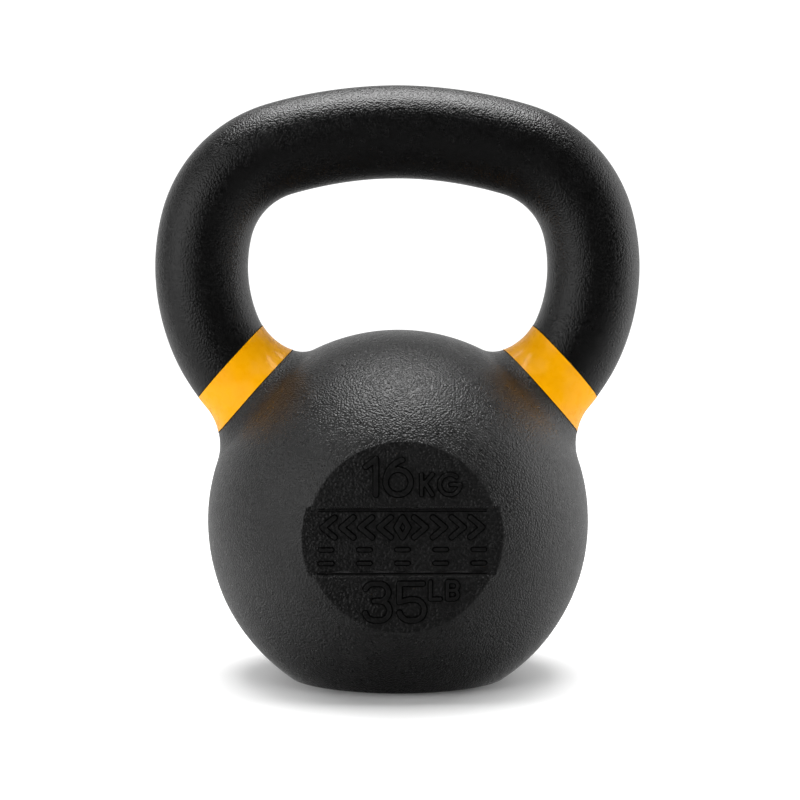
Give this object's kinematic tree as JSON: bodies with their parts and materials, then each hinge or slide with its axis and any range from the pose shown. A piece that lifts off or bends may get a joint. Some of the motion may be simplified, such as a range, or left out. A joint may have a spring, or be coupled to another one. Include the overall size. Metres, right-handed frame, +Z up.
{
  "type": "kettlebell",
  "caption": "Round flat-bottomed cast iron kettlebell with a thick looped handle, a yellow color band round each horn and a flat round front panel with raised weight marks.",
  "frame": {"origin": "centre of the flat base, on the surface it stands on", "axes": "+Z up through the handle, -Y out of the front panel, +X to the right seen from the front"},
  "size_m": [0.1956, 0.1458, 0.2383],
  "materials": {
    "bell_powder_coat": "pebbled matte black powder coat over cast iron",
    "handle_powder_coat": "fine satin black powder coat over cast iron",
    "panel_powder_coat": "rough cast iron under black powder coat",
    "yellow_enamel": "glossy warm yellow enamel"
  },
  "bodies": {
    "root": {"bell": "bell_powder_coat", "handle": "handle_powder_coat", "left_color_band": "yellow_enamel", "right_color_band": "yellow_enamel", "kilogram_mark": "panel_powder_coat", "pound_mark": "panel_powder_coat", "panel_ribs": "panel_powder_coat", "panel_pattern": "panel_powder_coat"}
  },
  "joints": []
}
